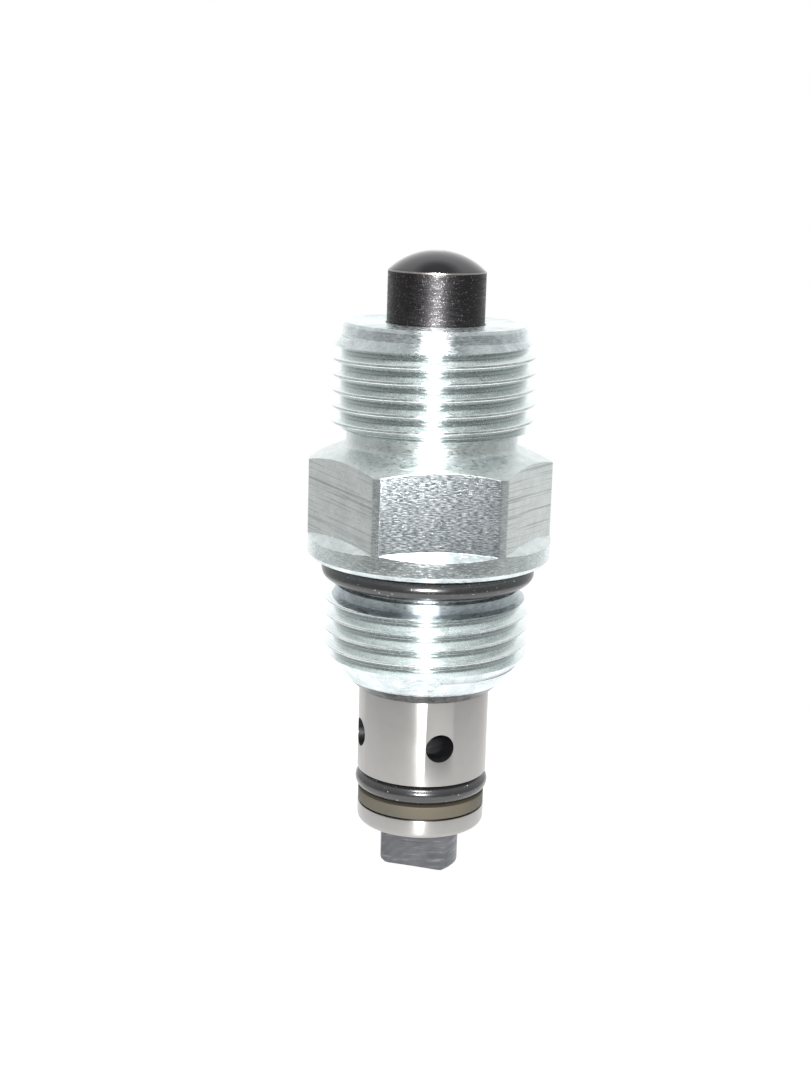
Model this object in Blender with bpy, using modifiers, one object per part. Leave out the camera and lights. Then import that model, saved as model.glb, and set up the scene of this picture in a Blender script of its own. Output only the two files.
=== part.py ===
"""Push-to-open poppet cartridge valve, as a bench assembly of separate pieces.

Frame: origin on the valve's axis at the underside of the collar (the face that seats on the
manifold), +Z towards the push pin. Front, where one hex flat faces, is -Y. Lengths are in
millimetres in this file and become metres in mm().

The push pin slides in the valve body against its return spring. It presses on the poppet's
stem, which opens the seat at the sleeve's nose against the poppet spring. Oil then passes from
the nose, past the poppet's two flats, to the four cross holes in the sleeve.
"""
import math

import bmesh
import bpy
from mathutils import Matrix

# ---------------------------------------------------------------- driving dimensions (mm, degrees)

SEGMENTS = 36                  # facets round the turned pieces
SMALL_SEGMENTS = 24            # facets round the small internal pieces
THREAD_STEPS = 24              # facets round one turn of an external thread
CLEARANCE = 0.3                # running and resting gap between neighbouring pieces
SEAL_GAP = 0.2                 # gap between a seal and the groove that holds it

# Valve body, from the collar's underside upwards
COLLAR_R = 11.9                # the round bar that the hex is milled from
COLLAR_TOP = 2.2               # where the hex flats begin
HEX_ACROSS_FLATS = 21.0
FLARE_TOP = 11.47
FLARE_RADIUS = 0.6
NECK_R = 8.3
BODY_TOP = 22.8
UPPER_CREST_R = 9.8
UPPER_ROOT_R = 8.95
UPPER_THREAD = (12.9, 21.6)    # first and last height of the upper thread's crest
UPPER_PHASE = 12.52            # height of one upper crest where it crosses +X
UPPER_CHAMFER = 20.4           # height where the upper chamfer meets the crest
UPPER_ROOT_END = 12.7          # where the thread's root steps down to the neck
TOP_FACE_R = 8.6

# Valve body, from the collar's underside downwards
COLLAR_EDGE = 0.45             # chamfer round the collar's underside
SEAT_INNER_R = 10.7            # the underside bears on the manifold outside this radius
SEAT_RELIEF = 0.1              # and is set back by this much inside it
BOSS_GROOVE_R = 8.3
BOSS_GROOVE_END = -2.75
RELIEF_R = 9.05
RELIEF_END = -3.7
LOWER_CREST_R = 10.0           # M20 x 1.5
LOWER_ROOT_R = 9.08
THREAD_PITCH = 1.5
LOWER_THREAD = (-10.7, -4.0)
LOWER_PHASE = -8.0             # height of one lower crest where it crosses +X
LOWER_CHAMFER = -9.3           # height where the end chamfer meets the crest
CHAMFER_SLOPE = 0.74           # radius lost for each mm along a thread's end chamfer
CHAMFER_END = -12.1            # where the end chamfer meets the steeper end cone
BODY_END = -13.15

# Bores of the valve body
PIN_BORE_R = 4.8
PISTON_BORE_R = 6.1
PISTON_BORE_TOP = 19.0
SLEEVE_BORE_R = 6.75
END_BORE_R = 6.55              # the end cone closes in on the sleeve
SLEEVE_BORE_TOP = 3.2
SNAP_GROOVE = (-10.4, -9.2)
SNAP_GROOVE_BODY_R = 7.25
SNAP_GROOVE_SLEEVE_R = 5.95

# Sleeve
SLEEVE_R = 6.45
SLEEVE_END = -27.25
SLEEVE_GROOVE = (-5.2, -3.0)   # static seal
SLEEVE_GROOVE_R = 5.2
NOSE_GROOVE = (-25.35, -21.75)
NOSE_GROOVE_R = 4.6
NOSE_LAND_R = 6.35
SPRING_BORE_R = 4.3
GUIDE_STEP = -14.9
FLOW_BORE_R = 3.8
FLOW_BORE_END = -20.9
SEAT_BORE_R = 3.0
SEAT_MOUTH_R = 4.0
CROSS_HOLE_R = 1.4
CROSS_HOLE_HEIGHT = -17.86
CROSS_HOLE_TURN = 10.5         # turn of the four holes from the -Y direction

# Push pin
PIN_R = 4.7
PIN_DOME_EDGE = 27.8
PIN_TIP = 29.6
PIN_TIP_FLAT_R = 0.9
PISTON_R = 5.8
PISTON_BOTTOM = 13.5
PIN_GROOVE = (14.4, 17.7)
PIN_GROOVE_R = 4.3
SPIGOT_R = 3.0
SPIGOT_END = 3.8

# Poppet
STEM_TOP = 3.4
STEM_THREAD_R = 1.9
STEM_SHOULDER = -1.7
STEM_R = 2.3
POPPET_R = 3.9
FLATS_TOP = -28.5
FLATS_HALF_THICKNESS = 2.0
FLATS_TURN = -22.3             # turn of the flats' normal from the -Y direction
POPPET_END = -31.95
TAIL_CHAMFER = 0.4

# Springs: wire diameter, mean radius, coils
PIN_SPRING = (1.2, 4.35, 4.5)
POPPET_SPRING = (0.8, 3.2, 6.5)
WASHER_THICKNESS = 1.0
NUT_ACROSS_FLATS = 6.4
NUT_HEIGHT = 2.3

MAIN_COLLECTION = "cartridge_valve"
CUTTER_COLLECTION = "cutters"

# Colour, metallic, roughness
ZINC = ((0.70, 0.75, 0.76), 1.0, 0.30)
GROUND_STEEL = ((0.56, 0.54, 0.52), 1.0, 0.32)
BLACK_OXIDE = ((0.045, 0.042, 0.045), 0.7, 0.35)
DARK_STEEL = ((0.23, 0.26, 0.29), 0.8, 0.45)
SPRING_STEEL = ((0.50, 0.50, 0.50), 1.0, 0.30)
BLACK_RUBBER = ((0.02, 0.02, 0.022), 0.0, 0.45)
OLIVE_PTFE = ((0.22, 0.20, 0.15), 0.0, 0.60)
BRONZE = ((0.62, 0.44, 0.22), 1.0, 0.35)

# ---------------------------------------------------------------- scene and material helpers


def mm(value):
    """Millimetres to metres."""
    return value * 0.001


def clear_scene():
    for obj in list(bpy.data.objects):
        bpy.data.objects.remove(obj, do_unlink=True)


def make_collection(name):
    collection = bpy.data.collections.new(name)
    bpy.context.scene.collection.children.link(collection)
    return collection


def make_material(name, look):
    """A Principled material from a (colour, metallic, roughness) triple."""
    colour, metallic, roughness = look
    material = bpy.data.materials.new(name)
    material.use_nodes = True
    shader = material.node_tree.nodes["Principled BSDF"]
    shader.inputs["Base Color"].default_value = (*colour, 1.0)
    shader.inputs["Metallic"].default_value = metallic
    shader.inputs["Roughness"].default_value = roughness
    return material


def add_object(name, mesh, look=None):
    """Link a mesh as a part, or as a hidden cutter when it has no look."""
    obj = bpy.data.objects.new(name, mesh)
    if look is None:
        bpy.data.collections[CUTTER_COLLECTION].objects.link(obj)
        obj.hide_render = True
        obj.display_type = "WIRE"
    else:
        bpy.data.collections[MAIN_COLLECTION].objects.link(obj)
        mesh.materials.append(make_material(name, look))
    return obj


def shade_round(mesh, angle=35.0):
    mesh.shade_smooth()
    mesh.set_sharp_from_angle(angle=math.radians(angle))


# ---------------------------------------------------------------- shape helpers


def turned(name, profile, look=None, segments=SEGMENTS):
    """Turn a (radius, height) profile about Z.

    The profile runs down the outer side. One that starts and ends on the axis is a solid of
    revolution, and any other is closed by running back up its inner side.
    """
    mesh = bpy.data.meshes.new(name)
    points = [(mm(radius), 0.0, mm(height)) for radius, height in profile]
    edges = [(i, i + 1) for i in range(len(points) - 1)]
    if profile[0][0] > 0.0:
        edges.append((len(points) - 1, 0))
    mesh.from_pydata(points, edges, [])
    obj = add_object(name, mesh, look)
    screw = obj.modifiers.new("turn", "SCREW")
    screw.steps = segments
    screw.render_steps = segments
    screw.use_merge_vertices = True
    screw.merge_threshold = 0.00001
    screw.use_smooth_shade = True
    return obj


def arc(centre, radius, start, end, steps):
    """Points of a (radius, height) arc, with angles in degrees from the radius direction."""
    points = []
    for i in range(steps + 1):
        angle = math.radians(start + (end - start) * i / steps)
        points.append((centre[0] + radius * math.cos(angle), centre[1] + radius * math.sin(angle)))
    return points


def ring_torus(name, mean_radius, section, height, look):
    """A round-section ring, such as an O-ring."""
    bpy.ops.mesh.primitive_torus_add(major_radius=mm(mean_radius), minor_radius=mm(section / 2),
                                     major_segments=SMALL_SEGMENTS, minor_segments=8)
    made = bpy.context.object
    mesh = made.data
    bpy.data.objects.remove(made)
    mesh.name = name
    mesh.transform(Matrix.Translation((0.0, 0.0, mm(height))))
    shade_round(mesh, 60.0)
    return add_object(name, mesh, look)


def flat_ring(name, inner, outer, bottom, top, look, edge=0.12):
    """A washer or rectangular-section ring with small edge chamfers."""
    profile = [(outer - edge, top), (outer, top - edge), (outer, bottom + edge), (outer - edge, bottom),
               (inner, bottom), (inner, top)]
    return turned(name, profile, look, SMALL_SEGMENTS)


def box_mesh(name, size, centre, turn=0.0):
    """A box of the given size, centred at a point, then turned about Z."""
    mesh = bpy.data.meshes.new(name)
    bm = bmesh.new()
    scale = Matrix.Diagonal((mm(size[0]), mm(size[1]), mm(size[2]), 1.0))
    place = Matrix.Translation([mm(value) for value in centre])
    bmesh.ops.create_cube(bm, size=1.0, matrix=Matrix.Rotation(math.radians(turn), 4, "Z") @ place @ scale)
    bm.to_mesh(mesh)
    bm.free()
    return mesh


def cylinder_mesh(name, radius, length, matrix, segments):
    mesh = bpy.data.meshes.new(name)
    bm = bmesh.new()
    bmesh.ops.create_cone(bm, cap_ends=True, segments=segments, radius1=mm(radius), radius2=mm(radius),
                          depth=mm(length), matrix=matrix)
    bm.to_mesh(mesh)
    bm.free()
    return mesh


def boolean(obj, other, operation):
    modifier = obj.modifiers.new(other.name, "BOOLEAN")
    modifier.operation = operation
    modifier.solver = "EXACT"
    modifier.object = other


def cut_flats(obj, count, distance, bottom, top, turn=0.0):
    """Mill flats at a distance from the axis, the first one facing -Y before the turn."""
    reach = 8.0
    height = top - bottom
    for i in range(count):
        angle = turn + 360.0 * i / count
        centre = (0.0, -(distance + reach / 2), (top + bottom) / 2)
        name = f"{obj.name}_flat_{i}"
        boolean(obj, add_object(name, box_mesh(name, (40.0, reach, height), centre, angle)), "DIFFERENCE")


def thread_ridge(name, crest_radius, root_radius, span, phase, crest_limit):
    """One right-hand 60 degree thread ridge, with its base just inside the core.

    phase is the height of a crest where it crosses +X. crest_limit gives the largest crest
    radius allowed at a height, for chamfered ends.
    """
    base_radius = root_radius - 0.15
    crest_half_width = THREAD_PITCH / 16
    flank = math.tan(math.radians(30.0))
    run_out = THREAD_STEPS / 4
    first = math.ceil((span[0] - phase) / THREAD_PITCH * THREAD_STEPS)
    last = math.floor((span[1] - phase) / THREAD_PITCH * THREAD_STEPS)

    bm = bmesh.new()
    sections = []
    for i in range(first, last + 1):
        angle = math.radians(360.0 * i / THREAD_STEPS)
        height = phase + THREAD_PITCH * i / THREAD_STEPS
        rise = min(1.0, (i - first) / run_out, (last - i) / run_out)
        full_radius = min(crest_radius, crest_limit(height))
        radius = base_radius + 0.05 + max(0.0, full_radius - base_radius - 0.05) * rise
        top_half_width = crest_half_width + max(0.0, full_radius - radius) * flank
        base_half_width = top_half_width + (radius - base_radius) * flank
        corners = ((base_radius, base_half_width), (radius, top_half_width),
                   (radius, -top_half_width), (base_radius, -base_half_width))
        sections.append([bm.verts.new((mm(r * math.cos(angle)), mm(r * math.sin(angle)), mm(height + z)))
                         for r, z in corners])
    for low, high in zip(sections, sections[1:]):
        for j in range(4):
            k = (j + 1) % 4
            bm.faces.new((low[j], low[k], high[k], high[j]))
    bm.faces.new(sections[0])
    bm.faces.new(sections[-1])
    bmesh.ops.recalc_face_normals(bm, faces=bm.faces)
    mesh = bpy.data.meshes.new(name)
    bm.to_mesh(mesh)
    bm.free()
    return add_object(name, mesh)


def bent_wire(name, wire, mean_radius, path):
    """Round wire bent round the axis through (angle in degrees, height) points."""
    curve = bpy.data.curves.new(name, "CURVE")
    curve.dimensions = "3D"
    curve.bevel_depth = mm(wire / 2)
    curve.bevel_resolution = 2
    curve.use_fill_caps = True
    line = curve.splines.new("POLY")
    line.points.add(len(path) - 1)
    for point, (degrees, height) in zip(line.points, path):
        angle = math.radians(degrees)
        point.co = (mm(mean_radius * math.cos(angle)), mm(mean_radius * math.sin(angle)), mm(height), 1.0)
    obj = bpy.data.objects.new(name, curve)
    bpy.data.collections[MAIN_COLLECTION].objects.link(obj)
    curve.materials.append(make_material(name, SPRING_STEEL))
    return obj


def coil_spring(name, spring, bottom, top):
    """A coil spring between two heights, with a closed part of a coil at each end."""
    wire, mean_radius, coils = spring
    points_per_coil = 12
    closed = 0.75
    closed_rise = wire * 1.12
    first = bottom + wire / 2
    last = top - wire / 2
    open_rise = (last - first - 2 * closed * closed_rise) / (coils - 2 * closed)
    path = []
    for i in range(round(coils * points_per_coil) + 1):
        turn = i / points_per_coil
        turned_closed = min(turn, closed) + max(0.0, turn - (coils - closed))
        height = first + closed_rise * turned_closed + open_rise * (turn - turned_closed)
        path.append((360.0 * turn, height))
    return bent_wire(name, wire, mean_radius, path)


# ---------------------------------------------------------------- the pieces


def valve_body():
    """Zinc-plated hex body with both external threads and its stepped bore."""
    flare_angle = 66.0
    flare = arc((NECK_R + FLARE_RADIUS, FLARE_TOP), FLARE_RADIUS, 180.0, 180.0 + flare_angle, 4)
    cone_slope = math.tan(math.radians(90.0 - flare_angle))
    shoulder = flare[-1][1] - (COLLAR_R - flare[-1][0]) * cone_slope
    core_end = LOWER_CHAMFER - (LOWER_CREST_R - LOWER_ROOT_R) / CHAMFER_SLOPE
    lip_top = CHAMFER_END + 0.2
    lip_r = LOWER_CREST_R - CHAMFER_SLOPE * (LOWER_CHAMFER - lip_top)
    outside = [(TOP_FACE_R, BODY_TOP), (TOP_FACE_R + 0.2, BODY_TOP - 0.2), (UPPER_ROOT_R, BODY_TOP - 0.5),
               (UPPER_ROOT_R, UPPER_ROOT_END), (NECK_R, UPPER_ROOT_END - 0.25)]
    outside += flare
    outside += [(COLLAR_R, shoulder), (COLLAR_R, COLLAR_EDGE), (COLLAR_R - COLLAR_EDGE, 0.0),
                (SEAT_INNER_R, 0.0), (SEAT_INNER_R, SEAT_RELIEF), (BOSS_GROOVE_R, SEAT_RELIEF),
                (BOSS_GROOVE_R, BOSS_GROOVE_END),
                (RELIEF_R, BOSS_GROOVE_END), (RELIEF_R, RELIEF_END), (LOWER_ROOT_R, RELIEF_END - 0.1),
                (LOWER_ROOT_R, core_end), (lip_r, lip_top), (lip_r - 0.2, CHAMFER_END),
                (END_BORE_R + 0.12, BODY_END)]
    bore = [(END_BORE_R, BODY_END), (END_BORE_R, CHAMFER_END), (SLEEVE_BORE_R, CHAMFER_END),
            (SLEEVE_BORE_R, SNAP_GROOVE[0]), (SNAP_GROOVE_BODY_R, SNAP_GROOVE[0]),
            (SNAP_GROOVE_BODY_R, SNAP_GROOVE[1]), (SLEEVE_BORE_R, SNAP_GROOVE[1]),
            (SLEEVE_BORE_R, SLEEVE_BORE_TOP), (PISTON_BORE_R, SLEEVE_BORE_TOP),
            (PISTON_BORE_R, PISTON_BORE_TOP), (PIN_BORE_R, PISTON_BORE_TOP),
            (PIN_BORE_R, BODY_TOP - 0.25), (PIN_BORE_R + 0.25, BODY_TOP)]
    body = turned("valve_body", outside + bore, ZINC)

    cut_flats(body, 6, HEX_ACROSS_FLATS / 2, COLLAR_TOP, FLARE_TOP)
    upper = thread_ridge("upper_thread", UPPER_CREST_R, UPPER_ROOT_R, UPPER_THREAD, UPPER_PHASE,
                         lambda height: UPPER_CREST_R - CHAMFER_SLOPE * (height - UPPER_CHAMFER))
    lower = thread_ridge("lower_thread", LOWER_CREST_R, LOWER_ROOT_R, LOWER_THREAD, LOWER_PHASE,
                         lambda height: LOWER_CREST_R + CHAMFER_SLOPE * (height - LOWER_CHAMFER))
    boolean(body, upper, "UNION")
    boolean(body, lower, "UNION")
    return body


def sleeve():
    """Ground steel cage with its seat, cross holes and seal grooves."""
    nose_round = 0.6
    profile = [(SLEEVE_R - 0.3, SLEEVE_BORE_TOP - CLEARANCE), (SLEEVE_R, SLEEVE_BORE_TOP - 2 * CLEARANCE),
               (SLEEVE_R, SLEEVE_GROOVE[1]), (SLEEVE_GROOVE_R, SLEEVE_GROOVE[1]),
               (SLEEVE_GROOVE_R, SLEEVE_GROOVE[0]), (SLEEVE_R, SLEEVE_GROOVE[0]),
               (SLEEVE_R, SNAP_GROOVE[1]), (SNAP_GROOVE_SLEEVE_R, SNAP_GROOVE[1]),
               (SNAP_GROOVE_SLEEVE_R, SNAP_GROOVE[0]), (SLEEVE_R, SNAP_GROOVE[0]),
               (SLEEVE_R, NOSE_GROOVE[1]), (NOSE_GROOVE_R, NOSE_GROOVE[1]),
               (NOSE_GROOVE_R, NOSE_GROOVE[0]), (NOSE_LAND_R, NOSE_GROOVE[0])]
    profile += arc((NOSE_LAND_R - nose_round, SLEEVE_END + nose_round), nose_round, 0.0, -90.0, 4)
    seat_height = SEAT_MOUTH_R - SEAT_BORE_R
    flow_cone = FLOW_BORE_R - SEAT_BORE_R
    profile += [(SEAT_MOUTH_R, SLEEVE_END), (SEAT_BORE_R, SLEEVE_END + seat_height),
                (SEAT_BORE_R, FLOW_BORE_END - flow_cone), (FLOW_BORE_R, FLOW_BORE_END),
                (FLOW_BORE_R, GUIDE_STEP), (SPRING_BORE_R, GUIDE_STEP),
                (SPRING_BORE_R, SLEEVE_BORE_TOP - CLEARANCE)]
    cage = turned("sleeve", profile, GROUND_STEEL)
    for i in range(2):
        turn = Matrix.Rotation(math.radians(CROSS_HOLE_TURN + 90.0 * i), 4, "Z")
        lay_down = Matrix.Rotation(math.radians(90.0), 4, "X")
        place = Matrix.Translation((0.0, 0.0, mm(CROSS_HOLE_HEIGHT)))
        name = f"cross_hole_{i}"
        drill = cylinder_mesh(name, CROSS_HOLE_R, 20.0, place @ turn @ lay_down, 24)
        boolean(cage, add_object(name, drill), "DIFFERENCE")
    return cage


def dome(edge_radius, edge_height, flat_radius, tip_height, steps):
    """Points of a spherical cap from its small centre flat out to its edge."""
    rise = tip_height - edge_height
    centre = (edge_height + tip_height) / 2 + (flat_radius ** 2 - edge_radius ** 2) / (2 * rise)
    sphere_radius = math.hypot(edge_radius, edge_height - centre)
    start = math.degrees(math.atan2(tip_height - centre, flat_radius))
    end = math.degrees(math.atan2(edge_height - centre, edge_radius))
    return arc((0.0, centre), sphere_radius, start, end, steps)


def push_pin():
    """Black push pin: dome, shank, sealed piston and the spigot that presses the stem."""
    profile = [(0.0, PIN_TIP)] + dome(PIN_R - 0.1, PIN_DOME_EDGE, PIN_TIP_FLAT_R, PIN_TIP, 5)
    shoulder = PISTON_BORE_TOP - CLEARANCE
    profile += [(PIN_R, PIN_DOME_EDGE - 0.15), (PIN_R, shoulder), (PISTON_R - 0.2, shoulder),
                (PISTON_R, shoulder - 0.2), (PISTON_R, PIN_GROOVE[1]), (PIN_GROOVE_R, PIN_GROOVE[1]),
                (PIN_GROOVE_R, PIN_GROOVE[0]), (PISTON_R, PIN_GROOVE[0]), (PISTON_R, PISTON_BOTTOM),
                (SPIGOT_R, PISTON_BOTTOM), (SPIGOT_R, SPIGOT_END + 0.5), (SPIGOT_R - 0.5, SPIGOT_END),
                (0.0, SPIGOT_END)]
    return turned("push_pin", profile, BLACK_OXIDE)


def pin_seals():
    """O-ring and backup ring that ride in the pin's groove."""
    section = PISTON_BORE_R - PIN_GROOVE_R - 2 * SEAL_GAP
    ring_height = PIN_GROOVE[0] + CLEARANCE + section / 2
    ring_torus("pin_o_ring", (PISTON_BORE_R + PIN_GROOVE_R) / 2, section, ring_height, BLACK_RUBBER)
    bottom = ring_height + section / 2 + SEAL_GAP
    flat_ring("pin_backup_ring", PIN_GROOVE_R + SEAL_GAP, PISTON_R, bottom, PIN_GROOVE[1] - SEAL_GAP,
              OLIVE_PTFE)


def pin_return():
    """Washer on the sleeve's top end, and the pin's return spring standing on it."""
    flat_ring("pin_spring_washer", SPIGOT_R + CLEARANCE, PISTON_BORE_R - CLEARANCE, SLEEVE_BORE_TOP,
              SLEEVE_BORE_TOP + WASHER_THICKNESS, DARK_STEEL)
    coil_spring("pin_return_spring", PIN_SPRING, SLEEVE_BORE_TOP + WASHER_THICKNESS + CLEARANCE,
                PISTON_BOTTOM - CLEARANCE)


def body_seals():
    """Boss seal under the collar, and the static seal and snap ring round the sleeve."""
    boss_section = 1.9
    ring_torus("boss_o_ring", 9.5, boss_section, -CLEARANCE - boss_section / 2, BLACK_RUBBER)

    static_section = SLEEVE_BORE_R - SLEEVE_GROOVE_R - 2 * SEAL_GAP
    ring_torus("sleeve_o_ring", (SLEEVE_BORE_R + SLEEVE_GROOVE_R) / 2, static_section,
               sum(SLEEVE_GROOVE) / 2, BLACK_RUBBER)


def snap_ring():
    """Open wire ring that locks the sleeve into the body."""
    wire = 0.8
    mean_radius = (SNAP_GROOVE_BODY_R + SNAP_GROOVE_SLEEVE_R) / 2
    opening = 30.0
    steps = 22
    path = [(opening / 2 + (360.0 - opening) * i / steps, sum(SNAP_GROOVE) / 2) for i in range(steps + 1)]
    bent_wire("sleeve_snap_ring", wire, mean_radius, path)


def nose_seals():
    """O-ring and backup ring in the groove at the sleeve's nose."""
    section = 1.8
    outer = 6.62
    height = NOSE_GROOVE[1] - SEAL_GAP - section / 2
    ring_torus("nose_o_ring", outer - section / 2, section, height, BLACK_RUBBER)
    top = height - section / 2 - SEAL_GAP
    flat_ring("nose_backup_ring", NOSE_GROOVE_R + SEAL_GAP, 6.32, NOSE_GROOVE[0] + 0.15, top,
              OLIVE_PTFE, 0.08)


def poppet():
    """Poppet with its long stem above and its two-flat tail below the seat."""
    seat_offset = CLEARANCE * math.sqrt(2.0)
    cone_foot = SLEEVE_END + SEAT_MOUTH_R - POPPET_R - seat_offset
    cone_top_r = STEM_R + 0.1
    cone_top = cone_foot + POPPET_R - cone_top_r
    profile = [(0.0, STEM_TOP), (STEM_THREAD_R - 0.4, STEM_TOP), (STEM_THREAD_R, STEM_TOP - 0.4),
               (STEM_THREAD_R, STEM_SHOULDER), (STEM_R - 0.1, STEM_SHOULDER), (STEM_R, STEM_SHOULDER - 0.1),
               (STEM_R, cone_top + 0.3), (cone_top_r, cone_top), (POPPET_R, cone_foot),
               (POPPET_R, POPPET_END + TAIL_CHAMFER), (POPPET_R - TAIL_CHAMFER, POPPET_END),
               (0.0, POPPET_END)]
    piece = turned("poppet", profile, DARK_STEEL, SMALL_SEGMENTS)
    cut_flats(piece, 2, FLATS_HALF_THICKNESS, POPPET_END - 2.0, FLATS_TOP, FLATS_TURN)
    return piece


def poppet_closing_set():
    """Guide bush, closing spring, spring retainer and lock nut on the poppet's stem."""
    guide_bottom = GUIDE_STEP + CLEARANCE
    guide_top = -11.0
    flat_ring("stem_guide", STEM_R + CLEARANCE, SPRING_BORE_R - 0.2, guide_bottom, guide_top, BRONZE, 0.3)

    retainer_bottom = STEM_SHOULDER + CLEARANCE
    retainer_top = retainer_bottom + WASHER_THICKNESS
    flat_ring("spring_retainer", STEM_THREAD_R + CLEARANCE, 3.9, retainer_bottom, retainer_top, DARK_STEEL)
    coil_spring("poppet_spring", POPPET_SPRING, guide_top + CLEARANCE, retainer_bottom - CLEARANCE)

    nut_bottom = retainer_top + CLEARANCE
    corner = NUT_ACROSS_FLATS / math.sqrt(3.0)
    nut_top = nut_bottom + NUT_HEIGHT
    chamfered = corner - 0.35
    profile = [(chamfered, nut_top), (corner, nut_top - 0.2), (corner, nut_bottom + 0.2),
               (chamfered, nut_bottom), (STEM_THREAD_R + CLEARANCE, nut_bottom),
               (STEM_THREAD_R + CLEARANCE, nut_top)]
    nut = turned("stem_nut", profile, SPRING_STEEL, SMALL_SEGMENTS)
    cut_flats(nut, 6, NUT_ACROSS_FLATS / 2, nut_bottom - 1.0, nut_top + 1.0)


def main():
    clear_scene()
    make_collection(MAIN_COLLECTION)
    make_collection(CUTTER_COLLECTION)
    valve_body()
    sleeve()
    push_pin()
    pin_seals()
    pin_return()
    body_seals()
    snap_ring()
    nose_seals()
    poppet()
    poppet_closing_set()


main()
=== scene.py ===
"""Looks of the push-to-open poppet cartridge valve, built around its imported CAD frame.

Row frame: origin on the valve's axis at the collar's underside, +Z towards the push pin, -Y out
of one hex flat. Shapes are given in millimetres and become metres where the meshes are made.
"""
import math

import bmesh
import bpy
import numpy as np
from mathutils import Matrix, Vector

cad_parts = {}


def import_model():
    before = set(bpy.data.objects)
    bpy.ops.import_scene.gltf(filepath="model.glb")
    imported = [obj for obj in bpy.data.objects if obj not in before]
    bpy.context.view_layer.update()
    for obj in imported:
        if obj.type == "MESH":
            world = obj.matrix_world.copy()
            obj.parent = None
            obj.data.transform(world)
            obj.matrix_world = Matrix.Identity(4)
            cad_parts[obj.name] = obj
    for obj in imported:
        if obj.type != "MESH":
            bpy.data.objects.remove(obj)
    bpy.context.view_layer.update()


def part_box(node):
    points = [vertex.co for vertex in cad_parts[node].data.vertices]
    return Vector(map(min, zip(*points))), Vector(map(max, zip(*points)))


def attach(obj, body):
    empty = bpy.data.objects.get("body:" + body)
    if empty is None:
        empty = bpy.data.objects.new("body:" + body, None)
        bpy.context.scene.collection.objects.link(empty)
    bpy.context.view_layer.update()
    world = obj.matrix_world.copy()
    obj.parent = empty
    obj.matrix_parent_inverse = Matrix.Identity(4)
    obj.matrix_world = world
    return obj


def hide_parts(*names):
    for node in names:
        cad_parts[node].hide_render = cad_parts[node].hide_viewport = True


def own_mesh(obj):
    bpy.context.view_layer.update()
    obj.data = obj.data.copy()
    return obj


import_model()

# ---------------------------------------------------------------- dimensions (mm, degrees)

ROUND = 256          # columns round the plain turned pieces
THREAD_STEPS = 144    # sections in one turn of a thread groove
FILLET_STEPS = 4
PITCH = 1.5
ROOT_ROUND = 0.2165                    # radius at the foot of a thread groove
GROOVE_REACH = 0.72                    # half a groove's width, just under half the pitch

# Valve body: hex, collar and neck
HEX_FLAT = 10.5                        # hex flat to axis
COLLAR_R = 11.9
COLLAR_TOP = 2.2
COLLAR_EDGE = 0.45                     # chamfer round the collar's underside
LEDGE_RISE = 0.43                      # the ledge below each hex flat bows up by this much
LEDGE_DROP = 0.24                      # in its middle, and its outer edge dips by this much
HEX_TOP = 10.5                         # the hex flats end below this height
WORN_FLATS = (0, 2, 3)                 # counted from the front one, the rest show tool lines
CORNER_ANGLE = math.degrees(math.acos(HEX_FLAT / COLLAR_R))
CORNER_TAN = math.tan(math.acos(HEX_FLAT / COLLAR_R))
NECK_R, NECK_TOP = 8.3, 12.42
FLARE_R = 0.6
FLARE_TOP = 11.47
FLARE_ANGLE = 66.0
TOP_FACE_R = 8.62
BODY_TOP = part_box("valve_body")[1].z * 1000
BODY_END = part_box("valve_body")[0].z * 1000

# Valve body: threads and what lies below the collar
UPPER_CREST_R, UPPER_ROOT_R = 9.8, 8.95
LOWER_CREST_R, LOWER_ROOT_R = 10.0, 9.08
UPPER_PHASE, LOWER_PHASE = 12.52, -8.0   # height of one crest where it crosses +X
UPPER_GROOVE, LOWER_GROOVE = (11.5, 22.5), (-13.2, -3.25)   # lowest and highest turn
UPPER_CHAMFER, LOWER_CHAMFER = 20.4, -9.3   # where an end chamfer meets the crest
UPPER_START = 12.98                    # where the upper thread's crest begins
PILOT_END = 21.62                      # foot of the plain land above the upper thread
SEAT_INNER_R = 10.7                    # the collar bears on the manifold outside this radius
SEAT_RELIEF = 0.1                      # and is set back by this much inside it
BOSS_GROOVE_R, BOSS_GROOVE_END = 8.3, -2.75
RELIEF_R, RELIEF_END = 9.05, -3.7
CHAMFER_END = -12.1                    # where the bright end chamfer meets the dark end cone
LIP_R = 7.85                           # radius of that meeting edge

# Bores of the valve body
PIN_BORE_R = 4.8
PISTON_BORE_R, PISTON_BORE_TOP = 6.1, 19.0
SLEEVE_BORE_R, SLEEVE_BORE_TOP = 6.75, 3.2
END_BORE_R = 6.55
SNAP_GROOVE = (-10.4, -9.2)
SNAP_GROOVE_BODY_R, SNAP_GROOVE_SLEEVE_R = 7.25, 5.95
SNAP_RING_R, SNAP_WIRE_R = 6.6, 0.4

# Sleeve
SLEEVE_R = 6.45
SLEEVE_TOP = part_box("sleeve")[1].z * 1000
SLEEVE_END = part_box("sleeve")[0].z * 1000
SLEEVE_GROOVE, SLEEVE_GROOVE_R = (-5.2, -3.0), 5.2
NOSE_GROOVE, NOSE_GROOVE_R = (-25.35, -21.75), 4.6
NOSE_LAND_R, NOSE_ROUND_R = 6.35, 0.6
SEAT_BORE_R, SEAT_MOUTH_R = 3.0, 4.0
FLOW_BORE_R, FLOW_BORE_END = 3.8, -20.9
SPRING_BORE_R, GUIDE_STEP = 4.3, -14.9
HOLE_R, HOLE_Z, HOLE_TURN = 1.4, -17.86, 10.5

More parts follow.
